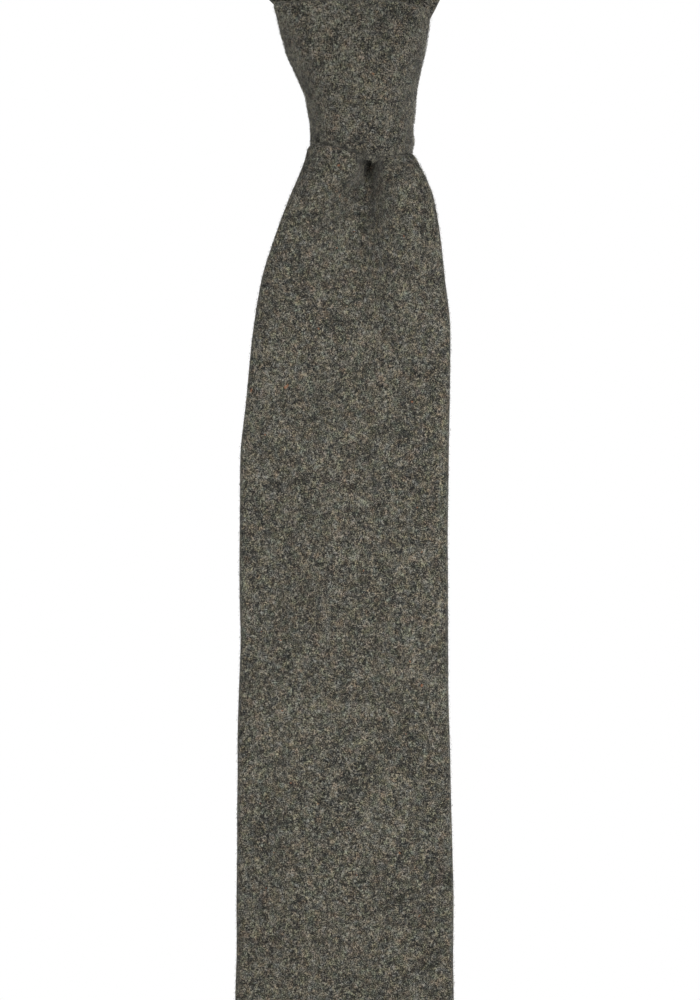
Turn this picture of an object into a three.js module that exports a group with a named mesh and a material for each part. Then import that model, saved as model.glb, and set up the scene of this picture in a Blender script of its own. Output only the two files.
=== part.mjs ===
// A skinny necktie of milled wool flannel, tied in a four-in-hand knot, in the form it has when worn.
// The neck goes through the loop. The wide blade hangs in front of the narrow tail, whose end a keeper
// holds. Millimetres. +Z is up, -Y is the front, +X is the viewer's right, and the origin is the middle
// of the neck hole. Every piece is a sheet of cloth: a grid of points down the middle of the cloth,
// given its thickness.
import * as THREE from "three";

// Cloth
const CLOTH = 1.2; // one layer of flannel with its backing
const GAP = 0.4; // clearance between pieces that lie on each other

// Wide blade, which hangs in front
const BLADE_WIDTH = 60; // at its widest, just above the point
const BLADE_DROP = 430; // from the knot's base to the point
const BLADE_THICKNESS = 4.0; // front layer, soft filling and back flaps
const BLADE_NARROWING = 0.115; // share of its width that it loses from the point's corners to the knot
const TIP_THICKNESS = 3.6;
const TIP_BLUNTNESS = 0.75; // half the width of a point's very end, a share of its thickness

// Narrow tail, which hangs behind
const TAIL_WIDTH = 36;
const TAIL_DROP = 345;
const TAIL_THICKNESS = 3.6;
const TAIL_NARROWING = 0.3;

// Back flaps of the blade and tail
const FLAP_OVERLAP = 8; // how far the left flap laps over the right one
const HEM = 6; // folded edge round an open point
const HEM_OPENING = 46; // length above the point's corners where the flaps part

// Neck band
const NECK_GIRTH = 410; // round the inside of the loop
const NECK_ROUNDNESS = 0.912; // width of the neck hole over its depth
const NECK_TILT = 24; // rise of the nape, and fall of the throat, from the middle of the neck hole
const BAND_WIDTH = 30;
const BAND_THICKNESS = 3.6;
const BAND_LEAN = 14; // degrees that the band's face looks upwards at the nape

// Knot
const KNOT_BELOW = 34; // from the middle of the neck hole down to the knot's top edge
const KNOT_HEIGHT = 38;
const KNOT_TOP_WIDTH = 43.7;
const KNOT_BASE_WIDTH = 27;
const KNOT_DEPTH = 23;
const KNOT_ASIDE = 4.5; // the knot's base sits this far to the right of the hanging blade
const KNOT_LEFT_SHARE = 0.548; // share of the top width that lies left of the base's middle
const KNOT_SLANT = 3; // the base edge is this much lower at its right end
const KNOT_DIP = 1.6; // and this much lower in front than at its sides
const BASE_FRONT = 0.45; // share of the knot's depth that is in front of its middle, at its base
const KNOT_INSIDE = 18; // how far the blade's strip goes up inside the knot
const WRAP_THICKNESS = 2.4;
const STRAP_WIDTH = 20; // the turn of the blade over the top of the knot
const STRAP_THICKNESS = 3;

// Keeper
const KEEPER_DROP = 238; // from the knot's base to the keeper's middle
const KEEPER_HEIGHT = 14;
const KEEPER_FOOT = 4; // sewn length at each end

const lerp = THREE.MathUtils.lerp;
const smooth = THREE.MathUtils.smoothstep;
const radians = THREE.MathUtils.degToRad;

// Where things lie
const neckMean = NECK_GIRTH / (2 * Math.PI);
const neckHalfDepth = (neckMean * Math.SQRT2) / Math.hypot(1, NECK_ROUNDNESS);
const neckHalfWidth = neckHalfDepth * NECK_ROUNDNESS;
const knotBase = -KNOT_BELOW - KNOT_HEIGHT;
const strapBackY = -(neckHalfDepth + GAP + STRAP_THICKNESS / 2);
const wrapBackY = strapBackY - STRAP_THICKNESS / 2 - GAP;
const knotMiddleY = wrapBackY - KNOT_DEPTH / 2;
const wrapFrontY = wrapBackY - KNOT_DEPTH;
const throatHalf = KNOT_BASE_WIDTH / 2 - WRAP_THICKNESS - GAP * 2;

// Depths inside the knot, from the throat to the front: tail, other arm of the band, blade or strap.
const throatThickness = BLADE_THICKNESS * 0.9;
const innerBackY = wrapBackY - WRAP_THICKNESS - GAP;
const tailTopY = innerBackY - CLOTH - GAP * 2 - TAIL_THICKNESS / 2;
const armThickness = BAND_THICKNESS * 1.1;
const rightArmY = innerBackY - CLOTH - GAP - armThickness / 2;
const leftArmY = rightArmY - armThickness;
const bladeTopY = knotMiddleY - BASE_FRONT * KNOT_DEPTH + WRAP_THICKNESS + GAP + throatThickness / 2;
const strapFrontY = wrapFrontY + WRAP_THICKNESS + GAP * 4 + STRAP_THICKNESS / 2;

// Value of a table's column at a place along it, on a smooth curve that doesn't overshoot.
function sample(rows, along, place, column) {
  const last = rows.length - 1;
  const at = rows.map((row) => row[along]);
  const value = rows.map((row) => row[column]);
  if (place <= at[0]) return value[0];
  if (place >= at[last]) return value[last];
  const i = at.findIndex((x) => x > place) - 1;
  const slope = (k) => (value[k + 1] - value[k]) / (at[k + 1] - at[k]);
  const tangent = (k) => {
    if (k === 0 || k === last) return slope(Math.min(k, last - 1));
    const [before, after] = [slope(k - 1), slope(k)];
    return before * after <= 0 ? 0 : (2 * before * after) / (before + after);
  };
  const span = at[i + 1] - at[i];
  const t = (place - at[i]) / span;
  const h = t * t * (3 - 2 * t);
  return (
    lerp(value[i], value[i + 1], h) +
    span * (t * (1 - t) ** 2 * tangent(i) - t * t * (1 - t) * tangent(i + 1))
  );
}

// Evenly spaced shares from 0 to 1.
const shares = (steps) => Array.from({ length: steps + 1 }, (_, i) => i / steps);

// A closed solid from a grid of points: each row runs across the sheet, and the rows follow each other
// along it.
function sheetSolid(grid, thickness) {
  const [rows, columns] = [grid.length, grid[0].length];
  const at = (i, j) =>
    grid[THREE.MathUtils.clamp(i, 0, rows - 1)][THREE.MathUtils.clamp(j, 0, columns - 1)];
  const points = [];
  for (const side of [1, -1]) {
    for (let i = 0; i < rows; i += 1) {
      for (let j = 0; j < columns; j += 1) {
        const across = at(i, j + 1).clone().sub(at(i, j - 1));
        const along = at(i + 1, j).clone().sub(at(i - 1, j));
        const normal = across.cross(along).normalize();
        points.push(at(i, j).clone().addScaledVector(normal, (side * thickness) / 2));
      }
    }
  }
  const index = [];
  const quad = (a, b, c, d) => index.push(a, b, c, a, c, d);
  const top = (i, j) => i * columns + j;
  const under = (i, j) => (rows + i) * columns + j;
  for (let i = 0; i + 1 < rows; i += 1) {
    for (let j = 0; j + 1 < columns; j += 1) {
      quad(top(i, j), top(i, j + 1), top(i + 1, j + 1), top(i + 1, j));
      quad(under(i, j), under(i + 1, j), under(i + 1, j + 1), under(i, j + 1));
    }
    quad(top(i, 0), top(i + 1, 0), under(i + 1, 0), under(i, 0));
    const end = columns - 1;
    quad(top(i, end), under(i, end), under(i + 1, end), top(i + 1, end));
  }
  for (let j = 0; j + 1 < columns; j += 1) {
    quad(top(0, j), under(0, j), under(0, j + 1), top(0, j + 1));
    const end = rows - 1;
    quad(top(end, j), top(end, j + 1), under(end, j + 1), under(end, j));
  }
  return new THREE.BufferGeometry().setFromPoints(points).setIndex(index);
}

// The line of the cloth across a strip that is folded round a soft filling: left flap, left fold, front,
// right fold, right flap. Each point is [across, outward]. The flaps lap over each other at the back, or
// part there.
function foldedLine(strip, steps) {
  const { left, right, thickness, bow = 0, turn = 0, dent = 0, dentAt = 0, lap, lifted = 1 } = strip;
  const half = (right - left - thickness) / 2;
  const middle = (left + right) / 2;
  const reach = Math.sin(Math.min(turn, Math.PI / 2));
  const dentWidth = half * 0.5;
  const line = (u) => {
    const across = turn ? Math.sin(u * turn) / reach : u;
    const back = turn ? (1 - Math.cos(u * turn)) / (1 - Math.cos(turn)) : 0;
    const x = middle + half * across;
    return [x, -bow * back - dent * Math.exp(-(((x - dentAt) / dentWidth) ** 2))];
  };
  const normal = (u) => {
    const [a, b] = [line(u - 0.01), line(u + 0.01)];
    const length = Math.hypot(b[0] - a[0], b[1] - a[1]);
    return [-(b[1] - a[1]) / length, (b[0] - a[0]) / length];
  };
  const off = (u, distance, angle = 0) => {
    const [[x, y], [nx, ny]] = [line(u), normal(u)];
    const [cos, sin] = [Math.cos(angle), Math.sin(angle)];
    return [x + distance * (nx * cos + ny * sin), y + distance * (ny * cos - nx * sin)];
  };
  const layer = (thickness - CLOTH) / 2;
  const edge = lap / 2 / half;
  const lapped = Math.min(Math.max(edge, FLAP_OVERLAP / 2 / half), 0.5);
  const ramp = Math.min(FLAP_OVERLAP / 2 / half, 0.7);
  const lift = (u) => lifted * (CLOTH + GAP) * smooth(u, -lapped - ramp, -lapped - ramp * 0.2);
  const points = [];
  shares(steps.flap + 2).forEach((k) => {
    const u = lerp(edge, -1, k);
    points.push(off(u, -layer - lift(u)));
  });
  shares(steps.fold).slice(1, -1).forEach((k) => points.push(off(-1, layer, -Math.PI * (1 - k))));
  shares(steps.front).forEach((k) => points.push(off(lerp(-1, 1, k), layer)));
  shares(steps.fold).slice(1, -1).forEach((k) => points.push(off(1, layer, Math.PI * k)));
  shares(steps.flap).forEach((k) => points.push(off(lerp(1, -edge, k), -layer)));
  return points;
}

// Spread of the blade and where its face lies, from inside the knot to where it hangs flat. below:
// shares of BLADE_WIDTH under the knot's base. left, right: 0 in the throat of the knot, 1 at full
// width. bow: how far the sides turn back, and dent: depth of the dimple and of the trough under it,
// shares of BLADE_WIDTH. turn: share of a half circle that the sides turn through. forward: shares of
// KNOT_DEPTH in front of the throat.
const SPREAD = [
  { below: -0.03, left: 0, right: 0, bow: 0.09, turn: 0.5, dent: 0.045, forward: 0 },
  { below: 0.005, left: 0.1, right: 0, bow: 0.095, turn: 0.5, dent: 0.05, forward: 0 },
  { below: 0.037, left: 0.18, right: 0.05, bow: 0.1, turn: 0.5, dent: 0.06, forward: 0.01 },
  { below: 0.075, left: 0.235, right: 0.38, bow: 0.11, turn: 0.5, dent: 0.075, forward: 0.07 },
  { below: 0.14, left: 0.31, right: 0.57, bow: 0.105, turn: 0.5, dent: 0.072, forward: 0.12 },
  { below: 0.225, left: 0.41, right: 0.725, bow: 0.095, turn: 0.48, dent: 0.058, forward: 0.15 },
  { below: 0.4, left: 0.595, right: 0.87, bow: 0.075, turn: 0.44, dent: 0.046, forward: 0.16 },
  { below: 0.57, left: 0.745, right: 0.96, bow: 0.058, turn: 0.4, dent: 0.036, forward: 0.14 },
  { below: 0.79, left: 0.85, right: 1.06, bow: 0.04, turn: 0.34, dent: 0.024, forward: 0.11 },
  { below: 1.09, left: 0.94, right: 1.03, bow: 0.022, turn: 0.26, dent: 0.012, forward: 0.07 },
  { below: 1.35, left: 0.99, right: 1.01, bow: 0.014, turn: 0.2, dent: 0.005, forward: 0.04 },
  { below: 1.75, left: 1, right: 1, bow: 0.01, turn: 0.18, dent: 0, forward: 0.02 },
];
// The dimple's place, a share of the way from the hanging middle to the knot's right end
const DENT_ASIDE = 0.25;

// How wide the back opening of a pointed strip is, and how far its flaps lap.
function pointShape(fromTip, halfWidth, thickness) {
  const corner = halfWidth; // a right-angled point is as long as half the strip is wide
  const edge = lerp(thickness * TIP_BLUNTNESS, corner, Math.min(fromTip / corner, 1));
  const parting = smooth(fromTip, corner, corner + HEM_OPENING);
  const opening = -2 * Math.max(edge - thickness / 2 - HEM, thickness * 0.15);
  return { edge, lap: lerp(opening, FLAP_OVERLAP, parting), lifted: smooth(parting, 0.2, 0.7) };
}

// Half width of a hanging strip that narrows evenly from its point's corners up to the knot.
const flatHalf = (width, narrowing, drop, below) =>
  (width / 2) * (1 - narrowing * THREE.MathUtils.clamp(1 - below / (drop - width / 2), 0, 1));

function bladeShape(below) {
  const at = below / BLADE_WIDTH;
  const column = (name) => sample(SPREAD, "below", at, name);
  const flat = flatHalf(BLADE_WIDTH, BLADE_NARROWING, BLADE_DROP, below);
  const fromTip = BLADE_DROP - below;
  const thickness = Math.min(
    lerp(throatThickness, BLADE_THICKNESS, smooth(at, 0, 0.5)),
    lerp(TIP_THICKNESS, BLADE_THICKNESS, smooth(fromTip, 0, BLADE_WIDTH / 2)),
  );
  const point = pointShape(fromTip, BLADE_WIDTH / 2, thickness);
  return {
    left: -Math.min(lerp(throatHalf - KNOT_ASIDE, flat, column("left")), point.edge),
    right: Math.min(lerp(throatHalf + KNOT_ASIDE, flat, column("right")), point.edge),
    thickness,
    bow: column("bow") * BLADE_WIDTH,
    turn: column("turn") * Math.PI * smooth(fromTip, 0, BLADE_WIDTH),
    dent: column("dent") * BLADE_WIDTH,
    dentAt: lerp(0, throatHalf + KNOT_ASIDE, DENT_ASIDE) + KNOT_ASIDE / 2,
    ...point,
  };
}

const bladeY = (below) =>
  bladeTopY - KNOT_DEPTH * sample(SPREAD, "below", below / BLADE_WIDTH, "forward");

// Rows of a strip that hangs straight down.
function hangingGrid(drops, shape, faceY, steps) {
  return drops.map((below) =>
    foldedLine(shape(below), steps).map(
      ([across, outward]) => new THREE.Vector3(across, faceY(below) - outward, knotBase - below),
    ),
  );
}

// Places along a hanging strip: the ones near the knot are given, then even steps, then the point.
function drops(near, drop, halfWidth, steps) {
  const start = near[near.length - 1];
  const parting = drop - halfWidth - HEM_OPENING;
  const corner = drop - halfWidth;
  return [
    ...near,
    ...shares(steps).slice(1).map((k) => lerp(start, parting, k)),
    ...[0.2, 0.4, 0.7].map((k) => lerp(parting, corner, k)),
    ...[0, 0.3, 0.6, 0.82, 0.94, 1].map((k) => lerp(corner, drop, k)),
  ];
}

const FRONT_STEPS = 16; // places across the blade's front
function wideBlade() {
  const near = [-KNOT_INSIDE, ...SPREAD.map((row) => row.below * BLADE_WIDTH)];
  const places = drops(near, BLADE_DROP, BLADE_WIDTH / 2, 5);
  const steps = { flap: 6, fold: 4, front: FRONT_STEPS };
  return sheetSolid(hangingGrid(places, bladeShape, bladeY, steps), CLOTH);
}

// The tail leaves the knot behind the blade and swings forward to hang against the blade's back.
const TAIL_SETTLES = 90; // drop by which it lies against the blade
const tailThroat = throatHalf * 0.8;
const bladeBackY = (below) => bladeY(below) + BLADE_THICKNESS / 2 + CLOTH + GAP;

function tailShape(below) {
  const flat = flatHalf(TAIL_WIDTH, TAIL_NARROWING, TAIL_DROP, below);
  const half = lerp(tailThroat, flat, smooth(below, 0, TAIL_SETTLES));
  const fromTip = TAIL_DROP - below;
  const thickness = lerp(TIP_THICKNESS, TAIL_THICKNESS, smooth(fromTip, 0, TAIL_WIDTH / 2));
  const point = pointShape(fromTip, TAIL_WIDTH / 2, thickness);
  const aside = lerp(KNOT_ASIDE, 0, smooth(below, 0, TAIL_SETTLES));
  return {
    left: aside - Math.min(half, point.edge),
    right: aside + Math.min(half, point.edge),
    thickness,
    ...point,
  };
}

const tailY = (below) =>
  lerp(tailTopY, bladeBackY(below) + GAP * 2 + TAIL_THICKNESS / 2, smooth(below, 0, TAIL_SETTLES));

const TAIL_STARTS = 20; // above the knot's base
function narrowTail() {
  const near = [-TAIL_STARTS, 0, 0.3 * TAIL_SETTLES, 0.55 * TAIL_SETTLES, 0.8 * TAIL_SETTLES, TAIL_SETTLES];
  const places = drops(near, TAIL_DROP, TAIL_WIDTH / 2, 3);
  return sheetSolid(hangingGrid(places, tailShape, tailY, { flap: 3, fold: 3, front: 4 }), CLOTH);
}

// The wrap is the turn of the blade round the knot. It comes out from under the strap behind the knot's
// right side, passes behind, round the left side and across the front, and its two ends meet there under
// the strap. up: shares of KNOT_HEIGHT. left, right: 0 at the base's half width, 1 at the top's. front:
// shares of KNOT_DEPTH.
const WRAP = [
  { up: 0, left: -0.04, right: -0.02, front: BASE_FRONT },
  { up: 0.05, left: 0, right: 0.04, front: 0.48 },
  { up: 0.14, left: 0, right: 0, front: 0.51 },
  { up: 0.25, left: 0.05, right: 0.07, front: 0.54 },
  { up: 0.38, left: 0.18, right: 0.13, front: 0.565 },
  { up: 0.52, left: 0.39, right: 0.28, front: 0.57 },
  { up: 0.66, left: 0.61, right: 0.48, front: 0.56 },
  { up: 0.8, left: 0.79, right: 0.68, front: 0.54 },
  { up: 0.93, left: 1.02, right: 0.92, front: 0.51 },
  { up: 1, left: 1.16, right: 1.1, front: 0.47 },
];
const WRAP_SQUARENESS = 0.8; // exponent of the plan's rounded outline: 1 is an ellipse, and less is squarer
const WRAP_START = 68; // degrees, from the right side towards the back
const WRAP_STEPS = 38;
const REAR_DROP = 12; // the top edge dips this much behind, where the neck band comes in over it
const RIGHT_DROP = 4; // and this much at the front's right corner
const topLeft = KNOT_TOP_WIDTH * KNOT_LEFT_SHARE;
const topRight = KNOT_TOP_WIDTH - topLeft;

function wrapPoint(degrees, share) {
  const [cos, sin] = [Math.cos(radians(degrees)), Math.sin(radians(degrees))];
  const inFront = smooth(-sin, 0, 1);
  const behind = smooth(sin, -0.55, 0.3);
  const low = knotBase - (KNOT_SLANT / 2) * cos - KNOT_DIP * inFront;
  const high = knotBase + KNOT_HEIGHT - REAR_DROP * behind - RIGHT_DROP * smooth(cos, 0.2, 1) * (1 - behind);
  const z = lerp(low, high, share);
  const up = (z - knotBase) / KNOT_HEIGHT;
  const flare = sample(WRAP, "up", up, cos < 0 ? "left" : "right");
  const half = lerp(KNOT_BASE_WIDTH / 2, cos < 0 ? topLeft : topRight, flare);
  const depth = sin < 0 ? sample(WRAP, "up", up, "front") * KNOT_DEPTH : KNOT_DEPTH / 2;
  const squared = (value) => Math.sign(value) * Math.abs(value) ** WRAP_SQUARENESS;
  return new THREE.Vector3(
    KNOT_ASIDE + (half - WRAP_THICKNESS / 2) * squared(cos),
    knotMiddleY + (depth - WRAP_THICKNESS / 2) * squared(sin),
    z,
  );
}

function knotWrap() {
  const slit = THREE.MathUtils.radToDeg((GAP * 2) / (KNOT_BASE_WIDTH / 2));
  const grid = shares(WRAP_STEPS).map((k) =>
    WRAP.map((row) => wrapPoint(lerp(WRAP_START, WRAP_START + 360 - slit, k), row.up)),
  );
  return sheetSolid(grid, WRAP_THICKNESS);
}

// The strap is the blade on its way up behind the knot, over the crossing of the band's arms and down
// inside the wrap, where it becomes the wide blade. up: shares of KNOT_HEIGHT above the base at the
// strap's middle. sag: how much higher its edges ride on the arms, shift: how far its middle lies right
// of the knot's middle, and slope: how much higher its right edge is than its left one, shares of
// STRAP_WIDTH. back: 1 behind the knot, 0 in front.
const STRAP = [
  { up: 0.24, shift: 0.16, slope: 0.5, sag: 0, back: 1 },
  { up: 0.5, shift: 0.1, slope: 0.3, sag: 0.04, back: 1 },
  { up: 0.74, shift: 0.03, slope: 0.1, sag: 0.07, back: 1 },
  { up: 0.89, shift: -0.03, slope: 0, sag: 0.11, back: 0.97 },
  { up: 1.02, shift: -0.05, slope: 0, sag: 0.12, back: 0.84 },
  { up: 1.085, shift: -0.05, slope: 0, sag: 0.12, back: 0.62 },
  { up: 1.085, shift: -0.05, slope: 0, sag: 0.12, back: 0.38 },
  { up: 1.02, shift: -0.04, slope: 0, sag: 0.12, back: 0.16 },
  { up: 0.88, shift: -0.02, slope: 0, sag: 0.1, back: 0.03 },
  { up: 0.72, shift: 0, slope: 0, sag: 0.06, back: 0 },
];
const STRAP_BOW = 1.2; // how far the strap's edges lie behind its middle in front

function strapRow(row) {
  return shares(10).map((k) => {
    const u = 2 * k - 1;
    const x = KNOT_ASIDE + STRAP_WIDTH * (row.shift + u / 2);
    const y = lerp(strapFrontY + STRAP_BOW * u * u, strapBackY, row.back);
    const z = knotBase + KNOT_HEIGHT * row.up + STRAP_WIDTH * (row.sag * u * u + (row.slope * u) / 2);
    return new THREE.Vector3(x, y, z);
  });
}

function knotStrap() {
  const end = { up: (KNOT_INSIDE + GAP) / KNOT_HEIGHT, shift: 0, slope: 0, sag: 0, back: 0 };
  return sheetSolid([...STRAP, end].map(strapRow), STRAP_THICKNESS);
}

// Half of the neck band, from the nape to the front. across, depth: shares of the neck hole's half width
// and half depth. height: shares of NECK_TILT. width: shares of BAND_WIDTH. lean: shares of BAND_LEAN.
const BAND = [
  { across: 0, depth: 1, height: 1, width: 1, lean: 1 },
  { across: 0.5, depth: 0.866, height: 0.86, width: 1, lean: 1 },
  { across: 0.866, depth: 0.5, height: 0.48, width: 1, lean: 0.9 },
  { across: 1, depth: 0, height: 0, width: 1, lean: 0.8 },
  { across: 0.92, depth: -0.4, height: -0.24, width: 0.94, lean: 0.6 },
  { across: 0.73, depth: -0.74, height: -0.45, width: 0.84, lean: 0.4 },
];
// The arms at the knot. x: shares of KNOT_TOP_WIDTH from the hanging middle. up: shares of KNOT_HEIGHT.
// depth: 0 on the neck hole's edge, 1 at the arm's own layer in the knot.
const LEFT_ARM = [
  { x: -0.81, up: 1.55, depth: 0.0, width: 0.7 },
  { x: -0.62, up: 1.42, depth: 0.45, width: 0.56 },
  { x: -0.45, up: 1.26, depth: 0.8, width: 0.44 },
  { x: -0.315, up: 1.07, depth: 1, width: 0.35 },
  { x: -0.2, up: 0.91, depth: 1, width: 0.32 },
  { x: 0, up: 0.74, depth: 1, width: 0.3 },
];
const RIGHT_ARM = [
  { x: 0.83, up: 1.53, depth: 0.0, width: 0.7 },
  { x: 0.655, up: 1.4, depth: 0.42, width: 0.56 },
  { x: 0.503, up: 1.22, depth: 0.75, width: 0.44 },
  { x: 0.433, up: 1.02, depth: 0.97, width: 0.36 },
  { x: 0.383, up: 0.89, depth: 1, width: 0.32 },
  { x: 0.31, up: 0.76, depth: 1, width: 0.24 },
];

function bandStations() {
  const station = (side) => (row) => ({
    place: new THREE.Vector3(
      side * row.across * (neckHalfWidth + BAND_THICKNESS / 2),
      row.depth * (neckHalfDepth + BAND_THICKNESS / 2),
      row.height * NECK_TILT,
    ),
    width: row.width * BAND_WIDTH,
    thickness: BAND_THICKNESS,
    lean: row.lean * BAND_LEAN,
  });
  const arm = (layer) => (row) => ({
    place: new THREE.Vector3(
      row.x * KNOT_TOP_WIDTH,
      lerp(-neckHalfDepth, layer, row.depth),
      knotBase + row.up * KNOT_HEIGHT,
    ),
    width: row.width * BAND_WIDTH,
    thickness: lerp(BAND_THICKNESS, armThickness, row.depth),
    lean: 0,
  });
  return [
    ...LEFT_ARM.map(arm(leftArmY)).reverse(),
    ...BAND.slice(1).map(station(-1)).reverse(),
    ...BAND.map(station(1)),
    ...RIGHT_ARM.map(arm(rightArmY)),
  ];
}

const BAND_STEPS = 34;
const BAND_LAP = 0.3; // how far the band's flaps lap, a share of half its width
function neckBand() {
  const stations = bandStations().map((row, i) => ({ ...row, i }));
  const path = new THREE.CatmullRomCurve3(stations.map((row) => row.place));
  const last = stations.length - 1;
  const grid = shares(BAND_STEPS).map((k) => {
    const t = path.getUtoTmapping(k);
    const value = (name) => sample(stations, "i", t * last, name);
    const place = path.getPoint(t);
    const along = path.getTangent(t);
    const level = new THREE.Vector3(place.x / neckHalfWidth ** 2, place.y / neckHalfDepth ** 2, 0).normalize();
    const lean = radians(value("lean"));
    const facing = level.multiplyScalar(Math.cos(lean)).setZ(Math.sin(lean));
    const across = facing.clone().cross(along).normalize();
    const outward = along.clone().cross(across).normalize();
    const half = value("width") / 2;
    const line = foldedLine(
      { left: -half, right: half, thickness: value("thickness"), lap: half * BAND_LAP },
      { flap: 2, fold: 3, front: 4 },
    );
    return line.map(([x, y]) => place.clone().addScaledVector(across, x).addScaledVector(outward, y));
  });
  return sheetSolid(grid, CLOTH);
}

// The keeper is a loop of cloth sewn to the blade's back, with the tail through it.
function keeperLoop() {
  const tail = tailShape(KEEPER_DROP);
  const half = Math.max(tail.right, -tail.left) + GAP * 2 + CLOTH / 2;
  const sewnY = bladeY(KEEPER_DROP) + bladeShape(KEEPER_DROP).bow + BLADE_THICKNESS / 2 + GAP + CLOTH / 2;
  const looseY = tailY(KEEPER_DROP) + TAIL_THICKNESS / 2 + CLOTH + GAP * 3 + CLOTH / 2;
  const round = (looseY - sewnY) / 2;
  const bend = (x, y, from, to) =>
    shares(4).map((k) => {
      const angle = radians(lerp(from, to, k));
      return [x + round * Math.cos(angle), y + round * Math.sin(angle)];
    });
  const right = [...bend(half - round, looseY - round, 90, 0), ...bend(half + round, sewnY + round, 180, 270)];
  const rightSide = [...right, [half + round + KEEPER_FOOT, sewnY]];
  const line = [...rightSide.map(([x, y]) => [-x, y]).reverse(), ...rightSide];
  const grid = [0.5, -0.5].map((k) =>
    line.map(([x, y]) => new THREE.Vector3(x, y, knotBase - KEEPER_DROP + k * KEEPER_HEIGHT)),
  );
  return sheetSolid(grid, CLOTH);
}

// A solid whose faces point in is turned round.
function facingOut(geometry) {
  const [a, b, c] = [new THREE.Vector3(), new THREE.Vector3(), new THREE.Vector3()];
  const { array } = geometry.index;
  const place = geometry.attributes.position;
  let volume = 0;
  for (let i = 0; i < array.length; i += 3) {
    [a, b, c].forEach((corner, k) => corner.fromBufferAttribute(place, array[i + k]));
    volume += a.dot(b.cross(c));
  }
  if (volume < 0) array.reverse();
  geometry.computeVertexNormals();
  return geometry;
}

// Milled wool flannel: grey with an olive cast, dull all over.
const flannel = (color) => new THREE.MeshStandardMaterial({ color, roughness: 0.95, metalness: 0 });

function piece(name, geometry, material) {
  const mesh = new THREE.Mesh(facingOut(geometry), material);
  mesh.name = name;
  return mesh;
}

const tie = new THREE.Group();
tie.add(
  piece("wide_blade", wideBlade(), flannel(0x56544b)),
  piece("narrow_tail", narrowTail(), flannel(0x56544b)),
  piece("knot_wrap", knotWrap(), flannel(0x55534b)),
  piece("knot_strap", knotStrap(), flannel(0x55534b)),
  piece("neck_band", neckBand(), flannel(0x54524a)),
  piece("keeper_loop", keeperLoop(), flannel(0x56544b)),
);

export default tie;
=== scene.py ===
import math

import bmesh
import bpy
import numpy as np
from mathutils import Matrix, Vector


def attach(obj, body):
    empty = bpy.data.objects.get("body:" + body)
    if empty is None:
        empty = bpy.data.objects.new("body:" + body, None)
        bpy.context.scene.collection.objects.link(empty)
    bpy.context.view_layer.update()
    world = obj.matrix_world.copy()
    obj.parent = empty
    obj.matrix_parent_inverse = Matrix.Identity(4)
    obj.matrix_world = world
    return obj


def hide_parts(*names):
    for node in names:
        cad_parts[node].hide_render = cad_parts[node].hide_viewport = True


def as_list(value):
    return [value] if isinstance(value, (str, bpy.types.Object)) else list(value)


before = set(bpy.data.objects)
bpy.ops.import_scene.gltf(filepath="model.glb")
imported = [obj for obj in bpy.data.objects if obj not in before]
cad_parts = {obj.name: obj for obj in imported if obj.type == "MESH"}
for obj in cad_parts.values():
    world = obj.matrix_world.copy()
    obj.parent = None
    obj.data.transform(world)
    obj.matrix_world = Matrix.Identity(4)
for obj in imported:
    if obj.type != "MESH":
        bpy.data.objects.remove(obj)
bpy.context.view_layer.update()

# A skinny necktie of milled wool flannel, tied in a four-in-hand knot. The shapes follow the solids' own
# tables, with finer folds, rolled edges, the cloth's fibres and its stitches added. Sizes are in
# millimetres until a mesh is made.
MM = 0.001
COARSER = 1
FEWER = 1

CLOTH = 1.2
GAP = 0.4
BLADE_WIDTH = 60
BLADE_DROP = 430
BLADE_THICKNESS = 4.0
BLADE_NARROWING = 0.115
TIP_THICKNESS = 3.6
TIP_BLUNTNESS = 0.62
TAIL_WIDTH = 36
TAIL_DROP = 345
TAIL_THICKNESS = 3.6
TAIL_NARROWING = 0.3
TAIL_SETTLES = 90
TAIL_STARTS = 20
TAIL_THROAT_SHARE = 0.8
FLAP_OVERLAP = 8
HEM = 6
HEM_OPENING = 46
LEAST_OPENING = 0.15
NECK_GIRTH = 410
NECK_ROUNDNESS = 0.912
NECK_TILT = 24
BAND_WIDTH = 30
BAND_THICKNESS = 3.6
BAND_LEAN = 14
BAND_LAP = 0.3
KNOT_BELOW = 34
KNOT_HEIGHT = 38
KNOT_TOP_WIDTH = 43.7
KNOT_BASE_WIDTH = 27
KNOT_DEPTH = 23
KNOT_ASIDE = 4.5
KNOT_LEFT_SHARE = 0.548
KNOT_SLANT = 3.5
KNOT_DIP = 1.7
DIP_MIDDLE = 6.5
DIP_LEFT = 4.5
DIP_RIGHT = 6.5
BASE_FRONT = 0.45
KNOT_INSIDE = 18
WRAP_THICKNESS = 2.4
WRAP_SQUARENESS = 0.8
WRAP_START = 68
REAR_DROP = 12
RIGHT_DROP = 2
HEM_THICKNESS = 0.8
STRAP_WIDTH = 20
STRAP_THICKNESS = 3
STRAP_BOW = 1.2
THROAT_SHARE = 0.9
ARM_SHARE = 1.1
KEEPER_DROP = 238
KEEPER_HEIGHT = 14
KEEPER_FOOT = 4
FOOT_SEAM = 0.55

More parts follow.
